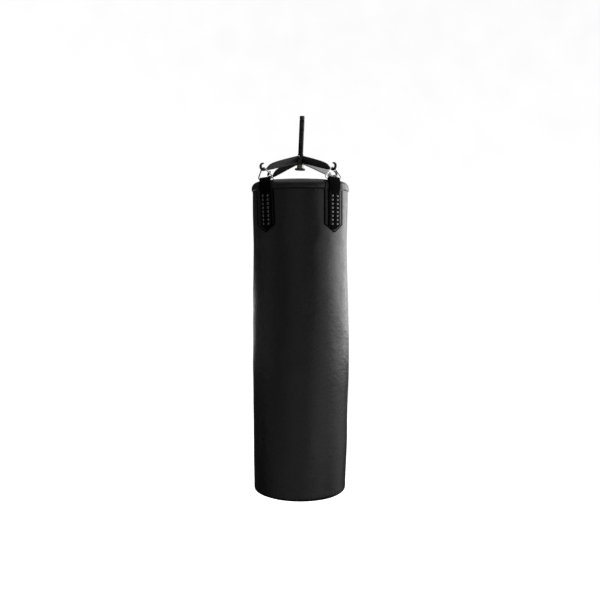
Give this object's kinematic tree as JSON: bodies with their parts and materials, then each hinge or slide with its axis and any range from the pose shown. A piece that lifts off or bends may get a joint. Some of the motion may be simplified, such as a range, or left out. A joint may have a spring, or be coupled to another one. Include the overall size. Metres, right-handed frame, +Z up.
{
  "type": "hanging punching bag",
  "caption": "Black leather heavy bag hung by wire rings from a hooked cross spreader that swivels and tilts on a steel rod.",
  "frame": {"origin": "centre of the cross hole at the top of the hanging rod", "axes": "+Z up towards the rod top, -Y is the front, +X is to the right seen from the front"},
  "size_m": [0.368, 0.368, 1.4205],
  "materials": {
    "rod_paint": "satin black paint on a steel rod",
    "spreader_paint": "satin black paint, worn at the edges",
    "bearing_steel": "ground bearing steel",
    "bearing_brass": "stamped brass",
    "liner_plastic": "low friction plastic",
    "ring_chrome": "bright plated wire",
    "rivet_chrome": "dark plated domed rivets",
    "bag_leather": "semi-gloss black leather with fine grain",
    "trim_leather": "black leather with dark piped edges",
    "strap_leather": "dull black folded strap leather",
    "zip_fabric": "black woven tape",
    "zip_metal": "dark nickel",
    "foam": "grey foam sheet",
    "filling": "packed textile shreds"
  },
  "bodies": {
    "rod": {"hanging_rod": "rod_paint", "end_flange": "rod_paint", "flange_pin": "bearing_steel"},
    "liner": {"seat_liner": "liner_plastic"},
    "lower_race": {"bearing_lower_race": "bearing_steel"},
    "cage": {"bearing_cage": "bearing_brass", "bearing_balls": "bearing_steel"},
    "spreader": {"bearing_upper_race": "bearing_steel", "hub_tube": "spreader_paint", "arm_front_right": "spreader_paint", "arm_back_right": "spreader_paint", "arm_back_left": "spreader_paint", "arm_front_left": "spreader_paint"},
    "ring_front_right": {"ring_front_right": "ring_chrome"},
    "ring_back_right": {"ring_back_right": "ring_chrome"},
    "ring_back_left": {"ring_back_left": "ring_chrome"},
    "ring_front_left": {"ring_front_left": "ring_chrome"},
    "zip_slider": {"zip_slider": "zip_metal"},
    "zip_puller": {"zip_puller": "zip_metal"},
    "bag": {"bag_shell": "bag_leather", "base_panel": "bag_leather", "base_welt": "trim_leather", "filling": "filling", "foam_liner": "foam", "lid_panel": "bag_leather", "patch_back_left": "trim_leather", "patch_back_right": "trim_leather", "patch_front_left": "trim_leather", "patch_front_right": "trim_leather", "rim_wire": "bearing_steel", "rivets_back_left": "rivet_chrome", "rivets_back_right": "rivet_chrome", "rivets_front_left": "rivet_chrome", "rivets_front_right": "rivet_chrome", "strap_back_left": "strap_leather", "strap_back_right": "strap_leather", "strap_front_left": "strap_leather", "strap_front_right": "strap_leather", "top_hem": "bag_leather", "zip_chain": "zip_metal", "zip_tape": "zip_fabric"}
  },
  "joints": [
    {"name": "seat_tilt_side", "type": "hinge", "parent": "rod", "child": "liner", "pos_m": [-0.00703, 0, -0.16365], "axis": [0, 1, 0], "range_deg": [-1.5, 6.4]},
    {"name": "seat_tilt_front", "type": "hinge", "parent": "liner", "child": "lower_race", "pos_m": [-0.00703, 0, -0.16365], "axis": [1, 0, 0], "range_deg": [-4, 4]},
    {"name": "swivel", "type": "hinge", "parent": "lower_race", "child": "spreader", "pos_m": [-0.00703, 0, -0.16365], "axis": [0, 0, 1], "continuous": true},
    {"name": "cage_roll", "type": "hinge", "parent": "lower_race", "child": "cage", "pos_m": [-0.00703, 0, -0.17685], "axis": [0, 0, 1], "continuous": true},
    {"name": "sway", "type": "hinge", "parent": "spreader", "child": "ring_front_right", "pos_m": [0.11954, -0.12657, -0.1959], "axis": [-0.7071, -0.7071, 0], "range_deg": [-4, 4]},
    {"name": "bag_level", "type": "hinge", "parent": "ring_front_right", "child": "bag", "pos_m": [0.11954, -0.12657, -0.23475], "axis": [-0.7071, -0.7071, 0], "range_deg": [-4, 4]},
    {"name": "ring_back_left_swing", "type": "hinge", "parent": "spreader", "child": "ring_back_left", "pos_m": [-0.1336, 0.12657, -0.1959], "axis": [-0.7071, -0.7071, 0], "range_deg": [-4, 4]},
    {"name": "ring_front_left_slide", "type": "slide", "parent": "spreader", "child": "ring_front_left", "axis": [0.7071, -0.7071, 0], "range_m": [-0.00272, 0.00272]},
    {"name": "ring_back_right_slide", "type": "slide", "parent": "spreader", "child": "ring_back_right", "axis": [0.7071, -0.7071, 0], "range_m": [-0.00272, 0.00272]},
    {"name": "zip_travel", "type": "hinge", "parent": "bag", "child": "zip_slider", "pos_m": [-0.00703, 0, -0.24915], "axis": [0, 0, 1], "range_deg": [0, 228]},
    {"name": "puller_flip", "type": "hinge", "parent": "zip_slider", "child": "zip_puller", "pos_m": [-0.12358, 0.05292, -0.24125], "axis": [0.9105, -0.4134, 0], "range_deg": [0, 180]}
  ],
  "couplings": [
    {"joint": "cage_roll", "follows": "swivel", "ratio": 0.5},
    {"joint": "bag_level", "follows": "sway", "ratio": -1},
    {"joint": "ring_back_left_swing", "follows": "sway", "ratio": 1},
    {"joint": "ring_front_left_slide", "follows": "sway", "m_per_rad": 0.03885},
    {"joint": "ring_back_right_slide", "follows": "sway", "m_per_rad": 0.03885}
  ]
}
